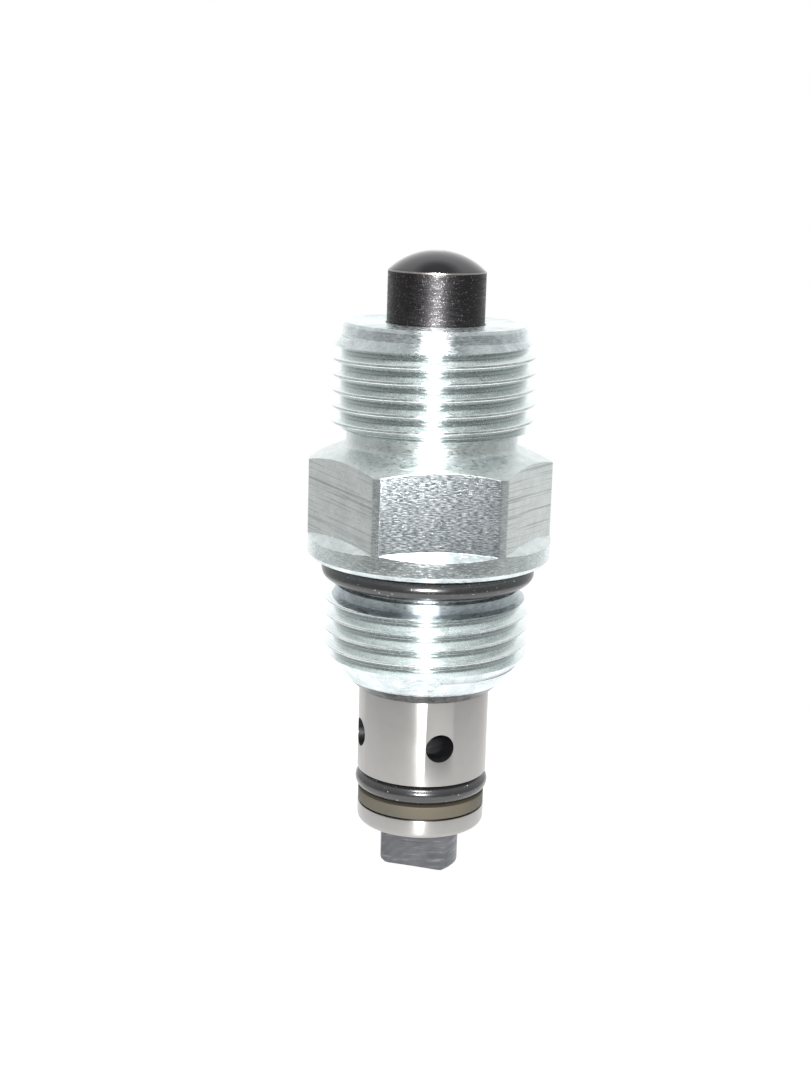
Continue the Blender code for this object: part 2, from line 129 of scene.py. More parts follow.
# Push pin
PIN_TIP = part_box("push_pin")[1].z * 1000
PIN_R = 4.7
DOME_EDGE, DOME_EDGE_R, TIP_FLAT_R = 27.8, 4.62, 0.9
PIN_SHOULDER = 18.7
PISTON_R, PISTON_BOTTOM = 5.8, 13.5
PIN_GROOVE, PIN_GROOVE_R = (14.4, 17.7), 4.3
SPIGOT_R, SPIGOT_END = 3.0, 3.8

# Poppet and its nut
STEM_TOP, STEM_SHOULDER = 3.4, -1.7
STEM_THREAD_R, STEM_R = 1.9, 2.3
POPPET_R = 3.9
POPPET_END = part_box("poppet")[0].z * 1000
FLATS_TOP, FLATS_TURN = -28.5, -22.3
FLAT_DISTANCE = 2.0                    # tail flat to axis
TAIL_CHAMFER = 0.4
SEAT_GAP = 0.3                         # between the poppet's cone and its seat
NUT_FLAT, NUT_BORE_R = 3.2, 2.2

# Springs: wire diameter, mean radius, coils
PIN_SPRING = (1.2, 4.35, 4.5)
POPPET_SPRING = (0.8, 3.2, 6.5)
END_COILS = 0.75                       # closed coils at each end
PRESS = 2.5                            # travel of the pin and the poppet

FLOOR_R, FLOOR_THICKNESS = 80.0, 2.0
FLOOR_GAP = 0.05                       # below the opened poppet's tail

# Camera and lamps: degrees, metres, and the lens in millimetres
CAMERA_TURN = 5.5                      # plan angle of the camera from -Y, towards -X
CAMERA_ELEVATION = 12.65
CAMERA_DISTANCE = 0.17465
CAMERA_AIM_Z = 0.00142
CAMERA_YAW = 0.76
CAMERA_ROLL = 1.87
CAMERA_LENS = 59.33
FLASH_ABOVE_LENS = 0.012
OVERHEAD_ELEVATION = 62.0

# Brightness of the light tent, by direction from the camera's side (0) to behind the valve (1)
TENT_LEVELS = ((0.0, 0.22), (0.25, 0.30), (0.5, 0.50), (0.66, 0.58), (0.83, 0.76), (0.94, 1.05),
               (1.0, 1.25))
TENT_TOP_LEVEL = 0.36                  # added towards the zenith

# ---------------------------------------------------------------- mesh helpers


def arc(centre, radius, start, end, steps):
    """(radius, height, 0) points of an arc, with angles in degrees from the radius direction."""
    angles = np.radians(np.linspace(start, end, steps + 1))
    across, height = centre
    return [(across + radius * math.cos(a), height + radius * math.sin(a), 0.0) for a in angles]


def filleted(points):
    """A closed (radius, height) section from (radius, height, fillet radius) corners."""
    made = []
    for i, (r, z, fillet) in enumerate(points):
        corner = np.array((r, z))
        if fillet <= 0.0:
            made.append(corner)
            continue
        before = np.array(points[i - 1][:2]) - corner
        after = np.array(points[(i + 1) % len(points)][:2]) - corner
        reach = [max(1e-6, float(np.hypot(*v))) for v in (before, after)]
        before, after = before / reach[0], after / reach[1]
        half = math.acos(max(-0.9999, min(0.9999, float(before @ after)))) / 2
        run = min(fillet / math.tan(half), 0.45 * reach[0], 0.45 * reach[1])
        start, end = corner + before * run, corner + after * run
        for k in range(FILLET_STEPS + 1):
            t = k / FILLET_STEPS
            made.append((1 - t) ** 2 * start + 2 * t * (1 - t) * corner + t * t * end)
    return made


def mesh_from(name, vertices, faces, merge=1e-6):
    """A clean mesh from points in millimetres, with doubles nearer than merge metres joined."""
    mesh = bpy.data.meshes.new(name)
    mesh.from_pydata([tuple(v) for v in np.asarray(vertices) * 0.001], [], faces)
    bm = bmesh.new()
    bm.from_mesh(mesh)
    bmesh.ops.remove_doubles(bm, verts=bm.verts, dist=merge)
    bmesh.ops.dissolve_degenerate(bm, edges=bm.edges, dist=merge / 2)
    bmesh.ops.recalc_face_normals(bm, faces=bm.faces)
    bm.to_mesh(mesh)
    bm.free()
    return mesh


def grid_mesh(name, rows, closed_columns=True):
    """A tube mesh from a (columns, points, 3) array. Open columns get flat end faces."""
    columns, count = rows.shape[:2]
    faces = []
    for j in range(columns if closed_columns else columns - 1):
        k = (j + 1) % columns
        for i in range(count):
            n = (i + 1) % count
            faces.append((j * count + i, k * count + i, k * count + n, j * count + n))
    if not closed_columns:
        faces.append(tuple(range(count)))
        faces.append(tuple(range((columns - 1) * count, columns * count)))
    return mesh_from(name, rows.reshape(-1, 3), faces)


def turned(name, section, angles=None):
    """A turned solid. section is its closed outline, or gives one for each plan angle."""
    if angles is None:
        angles = np.linspace(0.0, 360.0, ROUND, endpoint=False)
    rows = []
    fixed = None if callable(section) else np.array(filleted(section))
    for angle in angles:
        points = np.array(filleted(section(angle))) if fixed is None else fixed
        a = math.radians(angle)
        radii, heights = points[:, 0], points[:, 1]
        rows.append(np.stack([radii * math.cos(a), radii * math.sin(a), heights], 1))
    return grid_mesh(name, np.array(rows))


def swept(name, radii, angles, heights, section, squeeze=None):
    """A wire swept along a helix-like path.

    Its section is given square to the path. squeeze holds its heights between two values.
    """
    angles = np.radians(angles)
    path = np.stack([radii * np.cos(angles), radii * np.sin(angles), heights], 1)
    along = np.gradient(path, axis=0)
    along /= np.linalg.norm(along, axis=1)[:, None]
    out = np.stack([np.cos(angles), np.sin(angles), 0 * angles], 1)
    up = np.cross(out, along)
    up *= np.sign(up[:, 2:3])
    rows = path[:, None] + section[None, :, :1] * out[:, None] + section[None, :, 1:] * up[:, None]
    if squeeze is not None:
        rows[:, :, 2] = np.clip(rows[:, :, 2], *squeeze)
    return grid_mesh(name, rows, closed_columns=False)


def circle(radius, steps):
    """Points of a circle, as an array of pairs."""
    a = np.linspace(0.0, 2 * math.pi, steps, endpoint=False)
    return np.stack([radius * np.cos(a), radius * np.sin(a)], 1)


def link_object(name, data):
    """A new object in the scene."""
    obj = bpy.data.objects.new(name, data)
    bpy.context.scene.collection.objects.link(obj)
    return obj


def piece(name, mesh, body, node, materials, sharp=24.0):
    """Show a mesh in place of a CAD node, riding on that node's body."""
    obj = link_object(name, mesh)
    for material in materials:
        if material.name not in [m.name for m in mesh.materials if m]:
            mesh.materials.append(material)
    mesh.shade_smooth()
    mesh.set_sharp_from_angle(angle=math.radians(sharp))
    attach(obj, body)
    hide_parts(node)
    return obj


def cut(mesh, cutters):
    """Subtract closed meshes from a mesh with an exact Boolean, and return the new mesh."""
    obj = link_object("blank", mesh)
    tools = []
    for i, cutter in enumerate(cutters):
        tool = link_object(f"tool_{i}", cutter)
        tools.append(tool)
        modifier = obj.modifiers.new(tool.name, "BOOLEAN")
        modifier.operation = "DIFFERENCE"
        modifier.solver = "EXACT"
        modifier.object = tool
    evaluated = obj.evaluated_get(bpy.context.evaluated_depsgraph_get())
    result = bpy.data.meshes.new_from_object(evaluated)
    for item in [obj] + tools:
        bpy.data.objects.remove(item)
    return result


# ---------------------------------------------------------------- material helpers

STREAK_UPRIGHT = 0.25                  # anisotropic rotation that runs a highlight along Z


def add_node(tree, kind, inputs, settings):
    """A node whose inputs are set to values or linked to sockets."""
    made = tree.nodes.new(kind)
    for key, value in settings.items():
        setattr(made, key, value)
    for key, value in dict(inputs).items():
        if isinstance(value, bpy.types.NodeSocket):
            tree.links.new(value, made.inputs[key])
        else:
            made.inputs[key].default_value = value
    return made


class Shader:
    """A node material under construction, with short calls for the nodes it uses."""

    def __init__(self, name, metallic=0.0, specular=0.5, **settings):
        self.material = bpy.data.materials.new(name)
        self.material.use_nodes = True
        self.tree = self.material.node_tree
        self.bsdf = self.tree.nodes["Principled BSDF"]
        self.bsdf.inputs["Metallic"].default_value = metallic
        self.bsdf.inputs["Specular IOR Level"].default_value = specular
        for key, value in settings.items():
            self.bsdf.inputs[key.replace("_", " ").title()].default_value = value
        self.place = self.node("ShaderNodeTexCoord").outputs["Object"]

    def node(self, kind, inputs=(), **settings):
        """A node of this material, set up as add_node does it."""
        return add_node(self.tree, kind, inputs, settings)

    def stretched(self, scale, turn=(0.0, 0.0, 0.0)):
        """Object coordinates turned by some degrees, then scaled by (x, y, z) per metre."""
        turned_place = self.place
        if any(turn):
            angles = [math.radians(a) for a in turn]
            turned_place = self.node("ShaderNodeMapping",
                                     {"Vector": self.place, "Rotation": angles}).outputs[0]
        return self.node("ShaderNodeVectorMath", {0: turned_place, 1: scale},
                         operation="MULTIPLY").outputs[0]

    def axis_distance(self):
        """Distance from the valve's axis in millimetres."""
        return self.node("ShaderNodeVectorMath", {0: self.stretched((1000.0, 1000.0, 0.0))},
                         operation="LENGTH").outputs[1]

    def noise(self, scale, detail=2.0, roughness=0.5, turn=(0.0, 0.0, 0.0)):
        """Noise from 0 to 1. scale is in features per metre, one number or one for each axis."""
        scale = (scale,) * 3 if isinstance(scale, (int, float)) else scale
        inputs = {"Vector": self.stretched(scale, turn), "Scale": 1.0, "Detail": detail,
                  "Roughness": roughness}
        return self.node("ShaderNodeTexNoise", inputs).outputs[0]

    def added(self, *terms):
        """The sum of (socket, weight) pairs."""
        total = None
        for value, weight in terms:
            part = self.node("ShaderNodeMath", {0: value, 1: weight}, operation="MULTIPLY")
            if total is not None:
                part = self.node("ShaderNodeMath", {0: total, 1: part.outputs[0]}, operation="ADD")
            total = part.outputs[0]
        return total

    def ranged(self, value, low, high, to_low=0.0, to_high=1.0):
        """value carried from one range to another and held inside it."""
        inputs = {"Value": value, "From Min": low, "From Max": high, "To Min": to_low,
                  "To Max": to_high}
        return self.node("ShaderNodeMapRange", inputs).outputs[0]

    def mixed(self, factor, first, second):
        """A colour between two, each an (r, g, b) triple or a socket.

        A Mix node numbers its sockets for all data types: 6, 7 and output 2 are the colours.
        """
        made = self.node("ShaderNodeMix", data_type="RGBA")
        sockets = (made.inputs[0], made.inputs[6], made.inputs[7])
        for socket, value in zip(sockets, (factor, first, second)):
            if isinstance(value, bpy.types.NodeSocket):
                self.tree.links.new(value, socket)
            else:
                socket.default_value = (*value, 1.0) if isinstance(value, tuple) else value
        return made.outputs[2]

    def bump(self, height, depth_mm):
        """A normal from a height between 0 and 1 that stands for a depth."""
        inputs = {"Height": height, "Strength": 1.0, "Distance": depth_mm * 0.001}
        return self.node("ShaderNodeBump", inputs).outputs[0]

    def done(self, colour, roughness, normal):
        """The finished material."""
        for key, value in (("Base Color", colour), ("Roughness", roughness), ("Normal", normal)):
            self.tree.links.new(value, self.bsdf.inputs[key])
        return self.material


def zinc(name, lines, specks, rough=0.26, dark=(0.50, 0.56, 0.58), light=(0.82, 0.87, 0.88),
         tilt=(0.0, 0.0, 0.0), line_scale=4200.0, along=300.0, blotch=0.5, anisotropic=0.0,
         scores=0.0, thread=None):
    """Bright zinc plating with tool lines round it and a fine crystalline speckle.

    lines and specks are bump heights, and rough is the mean roughness. scores darkens the
    deepest tool lines. thread is the crest and root radius of a thread: its crests get a painted
    highlight (near-white colour) and its roots painted shade (darker colour).
    """
    s = Shader(name, metallic=1.0, anisotropic=anisotropic, anisotropic_rotation=STREAK_UPRIGHT)
    tool_lines = s.noise((along, along, line_scale), 3.0, 0.6, tilt)
    fine_lines = s.noise((500.0, 500.0, line_scale * 2.6), 2.0, 0.5, tilt)
    grains = s.noise(8000.0, 3.0, 0.65)
    scratches = s.noise((2000.0, 2000.0, 10000.0), 2.0, 0.6, tilt)
    mottle = s.noise(620.0, 3.0, 0.6)
    height = s.added((tool_lines, lines), (fine_lines, lines * 0.35), (grains, specks),
                     (scratches, specks))
    tone = s.added((mottle, blotch), (scratches, 1.0 - blotch))
    colour = s.mixed(s.ranged(tone, 0.38, 0.62), dark, light)
    if scores:
        colour = s.mixed(s.ranged(tool_lines, 0.36, 0.48, scores, 0.0), colour, (0.20, 0.22, 0.23))
    if thread:
        crest, root = thread
        radius = s.axis_distance()
        # Painted shade: the colour darkens towards the thread's root.
        colour = s.mixed(s.ranged(radius, root, root + 0.24), (0.46, 0.50, 0.50), colour)
        # Painted highlight: near-white colour along the crests.
        crest_highlight = s.ranged(radius, crest - 0.09, crest - 0.03)
        colour = s.mixed(crest_highlight, colour, (0.95, 0.98, 0.97))
    roughness = s.ranged(scratches, 0.35, 0.68, rough * 0.8, rough * 1.4)
    return s.done(colour, roughness, s.bump(height, 0.02))


def ground_steel():
    """Satin-ground steel with very fine lines round it."""
    s = Shader("ground_steel", metallic=1.0, anisotropic=0.9, anisotropic_rotation=STREAK_UPRIGHT)
    lines = s.noise((260.0, 260.0, 14000.0), 2.0, 0.6)
    grains = s.noise(4200.0, 2.0, 0.5)
    stains = s.noise(240.0, 3.0, 0.55)
    colour = s.mixed(s.ranged(stains, 0.3, 0.7), (0.36, 0.347, 0.335), (0.41, 0.40, 0.39))
    height = s.added((lines, 0.5), (grains, 0.9))
    return s.done(colour, s.ranged(stains, 0.3, 0.7, 0.30, 0.36), s.bump(height, 0.004))


def hole_shade_steel():
    """The rough walls of the drilled cross holes, coloured near-black as painted shade."""
    s = Shader("hole_shade_steel", metallic=0.7)
    lines = s.noise(2200.0, 3.0, 0.6)
    # near-black colour: painted shade deep in the holes
    colour = s.mixed(lines, (0.008, 0.008, 0.009), (0.03, 0.03, 0.033))
    return s.done(colour, s.ranged(lines, 0.3, 0.7, 0.4, 0.6), s.bump(lines, 0.02))


def black_oxide(name, rough, dark=(0.040, 0.038, 0.040), worn_tone=(0.27, 0.25, 0.235)):
    """Black oxide on steel. rough scales its scratches and its worn, brighter specks."""
    s = Shader(name, metallic=1.0, anisotropic=0.3 * rough, anisotropic_rotation=STREAK_UPRIGHT)
    grains = s.noise(4200.0, 3.0, 0.65)
    lines = s.noise((900.0, 900.0, 6500.0), 3.0, 0.6)
    worn = s.noise(6500.0, 2.0, 0.5)
    height = s.added((grains, rough * 0.7), (lines, rough * 1.3))
    colour = s.mixed(s.ranged(worn, 0.60, 0.78, 0.0, rough), dark, worn_tone)
    roughness = s.ranged(lines, 0.35, 0.65, 0.06 + 0.28 * rough, 0.09 + 0.49 * rough)
    return s.done(colour, roughness, s.bump(height, 0.02))


def dark_steel():
    """Hardened steel with the arc-shaped marks of a milling cutter."""
    s = Shader("dark_steel", metallic=0.85)
    cutter = s.node("ShaderNodeVectorMath", {0: s.place, 1: (-0.003, 0.002, 0.036)},
                    operation="ADD").outputs[0]
    inputs = {"Vector": cutter, "Scale": 430.0, "Distortion": 2.2, "Detail": 1.0,
              "Detail Scale": 1.0}
    wave = s.node("ShaderNodeTexWave", inputs, wave_type="RINGS",
                  rings_direction="SPHERICAL").outputs["Fac"]
    grains = s.noise(3800.0, 3.0, 0.6)
    stains = s.noise(420.0, 3.0, 0.6)
    scratches = s.noise((450.0, 450.0, 5200.0), 3.0, 0.6, (0.0, 9.0, 0.0))
    colour = s.mixed(s.ranged(stains, 0.3, 0.7), (0.080, 0.083, 0.090), (0.126, 0.129, 0.138))
    colour = s.mixed(s.ranged(wave, 0.0, 1.0, 0.0, 0.04), colour, (0.40, 0.41, 0.42))
    colour = s.mixed(s.ranged(scratches, 0.56, 0.70, 0.0, 0.30), colour, (0.42, 0.43, 0.44))
    height = s.added((wave, 0.12), (grains, 0.9))
    return s.done(colour, s.ranged(grains, 0.3, 0.7, 0.30, 0.44), s.bump(height, 0.01))


def spring_steel():
    """Bright drawn wire."""
    s = Shader("spring_steel", metallic=1.0)
    drawn = s.noise(3000.0, 2.0, 0.5)
    colour = s.mixed(s.ranged(drawn, 0.3, 0.7), (0.38, 0.38, 0.39), (0.55, 0.55, 0.55))
    return s.done(colour, s.ranged(drawn, 0.3, 0.7, 0.22, 0.34), s.bump(drawn, 0.004))


def bronze():
    """Turned bronze of the stem's guide."""
    s = Shader("bronze", metallic=1.0)
    lines = s.noise((300.0, 300.0, 9000.0), 2.0, 0.6)
    stains = s.noise(500.0, 3.0, 0.6)
    colour = s.mixed(s.ranged(stains, 0.3, 0.7), (0.46, 0.30, 0.14), (0.66, 0.47, 0.24))
    return s.done(colour, s.ranged(stains, 0.3, 0.7, 0.28, 0.42), s.bump(lines, 0.006))


def black_rubber():
    """Oiled black rubber with a few specks of dust."""
    s = Shader("black_rubber", specular=0.95)
    skin = s.noise(3000.0, 3.0, 0.6)
    film = s.noise((260.0, 260.0, 1500.0), 3.0, 0.6)
    dust = s.noise(5200.0, 1.0, 0.4)
    colour = s.mixed(s.ranged(dust, 0.74, 0.80), (0.010, 0.010, 0.011), (0.45, 0.45, 0.44))
    return s.done(colour, s.ranged(film, 0.3, 0.7, 0.16, 0.30), s.bump(skin, 0.006))


def olive_ptfe():
    """Filled PTFE, matte and olive brown."""
    s = Shader("olive_ptfe", specular=0.35)
    fill = s.noise(5200.0, 2.0, 0.6)
    cloud = s.noise(180.0, 2.0, 0.5)
    colour = s.mixed(s.ranged(cloud, 0.35, 0.65), (0.060, 0.056, 0.044), (0.078, 0.066, 0.046))
    return s.done(colour, s.ranged(fill, 0.3, 0.7, 0.48, 0.62), s.bump(fill, 0.004))


TURNED = zinc("zinc_turned", 0.9, 0.28, rough=0.27, anisotropic=0.85)
FLANK = {"lines": 0.5, "specks": 0.03, "rough": 0.21, "dark": (0.70, 0.76, 0.76),
         "light": (0.80, 0.86, 0.85), "anisotropic": 0.7}
# Both thread looks darken towards the roots (painted shade) and turn near-white on the crests
# (painted highlight).
UPPER_THREAD = zinc("zinc_upper_thread", thread=(UPPER_CREST_R, UPPER_ROOT_R), **FLANK)
LOWER_THREAD = zinc("zinc_lower_thread", thread=(LOWER_CREST_R, LOWER_ROOT_R), **FLANK)
WORN = zinc("zinc_worn", 0.20, 0.50, rough=0.15, dark=(0.46, 0.52, 0.55),
            light=(0.93, 0.98, 1.00), blotch=0.20)
MILLED = zinc("zinc_milled", 0.9, 0.06, rough=0.22, dark=(0.66, 0.70, 0.69),
              light=(0.79, 0.83, 0.81), tilt=(0.0, -7.0, 0.0), line_scale=5200.0, along=70.0,
              scores=0.5)
BAR = zinc("zinc_bar", 0.4, 0.45, rough=0.20, dark=(0.62, 0.68, 0.69), light=(0.92, 0.98, 0.98),
           blotch=0.35)
FLARE = zinc("zinc_flare", 0.7, 0.18, rough=0.34, dark=(0.56, 0.61, 0.60),
             light=(0.74, 0.79, 0.78), anisotropic=0.6)
LEDGE = zinc("zinc_ledge", 0.2, 0.1, rough=0.36, dark=(0.58, 0.62, 0.62),
             light=(0.74, 0.78, 0.78))
# Darker copy of the zinc for the relief under the boss O-ring: painted shade under the overhanging
# O-ring.
RELIEF_SHADE = zinc("zinc_relief_painted_shade", 0.9, 0.3, rough=0.34, dark=(0.33, 0.37, 0.39),
                light=(0.55, 0.62, 0.65), anisotropic=0.85)
# Dark grey look on the body's end cone and end bore, below CHAMFER_END.
DARK_END = zinc("dark_end_metal", 0.9, 0.4, rough=0.3, dark=(0.05, 0.053, 0.056),
            light=(0.24, 0.245, 0.25))
HOLE_SHADE = hole_shade_steel()
STEEL = ground_steel()
OXIDE = black_oxide("black_oxide", 1.0)
POLISHED = black_oxide("black_oxide_dome", 0.15, (0.125, 0.119, 0.124))
# Lighter rim just under the dome's edge: wear, and a painted rim highlight.
WORN_RIM_HIGHLIGHT = black_oxide("black_oxide_worn_rim_highlight", 0.6, (0.30, 0.28, 0.27), (0.62, 0.58, 0.54))
HARD_STEEL = dark_steel()
WIRE = spring_steel()
BUSH = bronze()
RUBBER = black_rubber()
PTFE = olive_ptfe()

# ---------------------------------------------------------------- valve body


def blunt_min(first, second, sharpness=60.0):
    """The smaller of two radii, with their meeting edge slightly rounded."""
    low = min(first, second)
    weights = math.exp(-sharpness * (first - low)) + math.exp(-sharpness * (second - low))
    return low - math.log(weights) / sharpness


def from_flat(angle, flats, turn=-90.0):
    """Plan angle measured from the nearest of a number of evenly spaced flats."""
    step = 360.0 / flats
    return (angle - turn + step / 2) % step - step / 2


def flat_radius(angle, distance, flats, limit, turn=-90.0):
    """Distance from the axis to the edge of a round bar with milled flats."""
    lean = math.cos(math.radians(from_flat(angle, flats, turn)))
    reach = distance / lean if lean > 0.05 else 20.0 * distance
    return blunt_min(min(reach, 3.0 * limit), limit)


def body_section(angle):
    """The body's closed outline at one plan angle, as (radius, height, fillet) corners."""
    hexagon = min(COLLAR_R - 0.0005, flat_radius(angle, HEX_FLAT, 6, COLLAR_R))
    flare = arc((NECK_R + FLARE_R, FLARE_TOP), FLARE_R, 180.0, 180.0 + FLARE_ANGLE, 8)
    slope = math.tan(math.radians(90.0 - FLARE_ANGLE))
    cone = flare[-1][1] - (hexagon - flare[-1][0]) * slope
    upper = [(TOP_FACE_R, BODY_TOP, 0.10), (TOP_FACE_R + 0.22, BODY_TOP - 0.32, 0.15),
             (TOP_FACE_R + 0.28, PILOT_END, 0.12), (UPPER_CREST_R, UPPER_CHAMFER, 0.10),
             (UPPER_CREST_R, UPPER_START, 0.06), (UPPER_ROOT_R - 0.03, NECK_TOP + 0.24, 0.10),
             (NECK_R, NECK_TOP, 0.12)]
    bow = max(0.0, 1.0 - (math.tan(math.radians(from_flat(angle, 6))) / CORNER_TAN) ** 2)
    collar = [(hexagon, cone, 0.07), (hexagon, COLLAR_TOP + LEDGE_RISE * bow, 0.10),
              (COLLAR_R, COLLAR_TOP - LEDGE_DROP * bow, 0.05),
              (COLLAR_R, COLLAR_EDGE + 0.03, 0.05), (COLLAR_R - COLLAR_EDGE, 0.0, 0.05),
              (SEAT_INNER_R, 0.0, 0.03), (SEAT_INNER_R - 0.05, SEAT_RELIEF, 0.03)]
    lower = [(BOSS_GROOVE_R, SEAT_RELIEF, 0.15), (BOSS_GROOVE_R, BOSS_GROOVE_END, 0.15),
             (RELIEF_R, BOSS_GROOVE_END, 0.08), (RELIEF_R, RELIEF_END, 0.06),
             (LOWER_CREST_R, RELIEF_END - 0.28, 0.06), (LOWER_CREST_R, LOWER_CHAMFER, 0.06),
             (LIP_R + 0.22, CHAMFER_END + 0.2, 0.08), (LIP_R, CHAMFER_END, 0.05),
             (END_BORE_R + 0.13, BODY_END, 0.06)]
    bore = [(END_BORE_R, BODY_END, 0.03), (END_BORE_R, CHAMFER_END, 0.03),
            (SLEEVE_BORE_R, CHAMFER_END, 0.0), (SLEEVE_BORE_R, SNAP_GROOVE[0], 0.0),
            (SNAP_GROOVE_BODY_R, SNAP_GROOVE[0], 0.05), (SNAP_GROOVE_BODY_R, SNAP_GROOVE[1], 0.05),
            (SLEEVE_BORE_R, SNAP_GROOVE[1], 0.0), (SLEEVE_BORE_R, SLEEVE_BORE_TOP, 0.1),
            (PISTON_BORE_R, SLEEVE_BORE_TOP, 0.05), (PISTON_BORE_R, PISTON_BORE_TOP, 0.1),
            (PIN_BORE_R, PISTON_BORE_TOP, 0.05), (PIN_BORE_R, BODY_TOP - 0.1, 0.04),
            (PIN_BORE_R + 0.1, BODY_TOP, 0.04)]
    return upper + flare + collar + lower + bore


def body_angles():
    """Plan angles of the body's columns, closer together where the flats meet the round bar."""
    near = CORNER_ANGLE + np.array([-0.4, -0.2, -0.06, 0.06, 0.2, 0.4])
    half = np.concatenate([np.linspace(0.0, CORNER_ANGLE - 0.75, 19), near,
                           [28.95, 29.5]])
    sector = np.concatenate([-half[:0:-1], half, [30.0]])
    return np.concatenate([-90.0 + 60.0 * i + sector for i in range(6)])


def thread_groove(name, crest, root, phase, low, high):
    """The 60 degree groove between a right-hand thread's crests, a little beyond both its ends.

    side is the upper half of its section: the rounded root, the flank, the crest's soft edge.
    """
    centre = root + ROOT_ROUND
    side = [(centre - ROOT_ROUND * math.cos(a), ROOT_ROUND * math.sin(a))
            for a in np.radians(np.linspace(0, 60, 5))]
    flank = math.tan(math.radians(30.0))
    top = side[-1][1] + (crest - 0.05 - side[-1][0]) * flank
    side += [(crest - 0.05, top), (crest - 0.022, top + 0.024), (crest - 0.006, top + 0.056),
             (crest + 0.03, GROOVE_REACH - 0.005), (crest + 0.4, GROOVE_REACH)]
    section = np.array([(r, -z) for r, z in side[:0:-1]] + side)
    first = math.ceil((low - phase) / PITCH * THREAD_STEPS)
    last = math.floor((high - phase) / PITCH * THREAD_STEPS)
    turns = np.arange(first, last + 1) / THREAD_STEPS
    angles = np.radians(360.0 * turns)
    heights = phase + PITCH / 2 + PITCH * turns
    rows = np.empty((len(turns), len(section), 3))
    rows[:, :, 0] = section[None, :, 0] * np.cos(angles)[:, None]
    rows[:, :, 1] = section[None, :, 0] * np.sin(angles)[:, None]
    rows[:, :, 2] = section[None, :, 1] + heights[:, None]
    return grid_mesh(name, rows, closed_columns=False)


def valve_body():
    """The body: turned blank with its hex, then both threads cut, with a look for each zone."""
    mesh = turned("valve_body_fine", body_section, body_angles())
    materials = (TURNED, UPPER_THREAD, LOWER_THREAD, WORN, MILLED, BAR, FLARE, LEDGE, RELIEF_SHADE,
                 DARK_END)
    for material in materials:
        mesh.materials.append(material)
    for face in mesh.polygons:
        x, y, z = (1000 * v for v in face.center)
        radius = math.hypot(x, y)
        upright = math.hypot(face.normal.x, face.normal.y) > 0.995
        angle = math.degrees(math.atan2(y, x))
        near_flat = abs(from_flat(angle, 6)) < CORNER_ANGLE - 0.1
        look = TURNED
        if COLLAR_TOP + 0.05 < z < HEX_TOP and radius > HEX_FLAT - 0.05 and upright and near_flat:
            flat = round((angle + 90.0) / 60.0) % 6
            look = WORN if flat in WORN_FLATS else MILLED
        elif radius > HEX_FLAT and upright and 0.0 < z < HEX_TOP:
            look = BAR
        elif radius > HEX_FLAT and face.normal.z > 0.5 and 1.8 < z < 3.0:
            look = LEDGE
        elif 9.0 < z < 12.3 and radius > NECK_R - 0.3:
            look = FLARE
        # the relief under the boss O-ring takes the darker copy, which is painted shade
        elif -4.2 < z < -2.7 and radius > RELIEF_R - 0.15:
            look = RELIEF_SHADE
        elif z < CHAMFER_END:
            look = DARK_END
        face.material_index = materials.index(look)
    grooves = [thread_groove("upper_groove", UPPER_CREST_R, UPPER_ROOT_R, UPPER_PHASE,
                             *UPPER_GROOVE),
               thread_groove("lower_groove", LOWER_CREST_R, LOWER_ROOT_R, LOWER_PHASE,
                             *LOWER_GROOVE)]
    for groove, look in zip(grooves, (UPPER_THREAD, LOWER_THREAD)):
        for material in materials:
            groove.materials.append(material)
        for face in groove.polygons:
            face.material_index = materials.index(look)
    mesh = cut(mesh, grooves)
    mesh.name = "valve_body_fine"
    piece("valve_body_fine", mesh, "cartridge", "valve_body", materials)


# ---------------------------------------------------------------- the other pieces


def drill(name, plan_angle):
    """A closed cylinder that drills a pair of cross holes, with the painted shade (near-black
    colour) on its walls.
    """
    turn = Matrix.Rotation(math.radians(plan_angle), 4, "Z")
    lay_down = turn @ Matrix.Rotation(math.pi / 2, 4, "X")
    place = Matrix.Translation((0.0, 0.0, HOLE_Z * 0.001)) @ lay_down
    bm = bmesh.new()
    bmesh.ops.create_cone(bm, cap_ends=True, segments=72, radius1=HOLE_R * 0.001,
                          radius2=HOLE_R * 0.001, depth=0.02, matrix=place)
    mesh = bpy.data.meshes.new(name)
    bm.to_mesh(mesh)
    bm.free()
    # the cutter's faces carry the hole walls' painted shade into the sleeve
    for material in (STEEL, HOLE_SHADE):
        mesh.materials.append(material)
    for face in mesh.polygons:
        face.material_index = 1
    return mesh


def soften_hole_rims(mesh):
    """A 0.06 mm bevel round the outer rims of the sleeve's cross holes."""
    bm = bmesh.new()
    bm.from_mesh(mesh)
    rims = []
    for edge in bm.edges:
        middle = (edge.verts[0].co + edge.verts[1].co) / 2 * 1000
        outer = math.hypot(middle.x, middle.y) > SLEEVE_R - 0.05
        at_hole = outer and abs(middle.z - HOLE_Z) < HOLE_R + 0.1
        if at_hole and len(edge.link_faces) == 2 and edge.calc_face_angle() > math.radians(50.0):
            rims.append(edge)
    bmesh.ops.bevel(bm, geom=rims, offset=0.00006, segments=2, profile=0.5, affect="EDGES",
                    clamp_overlap=True)
    bm.to_mesh(mesh)
    bm.free()


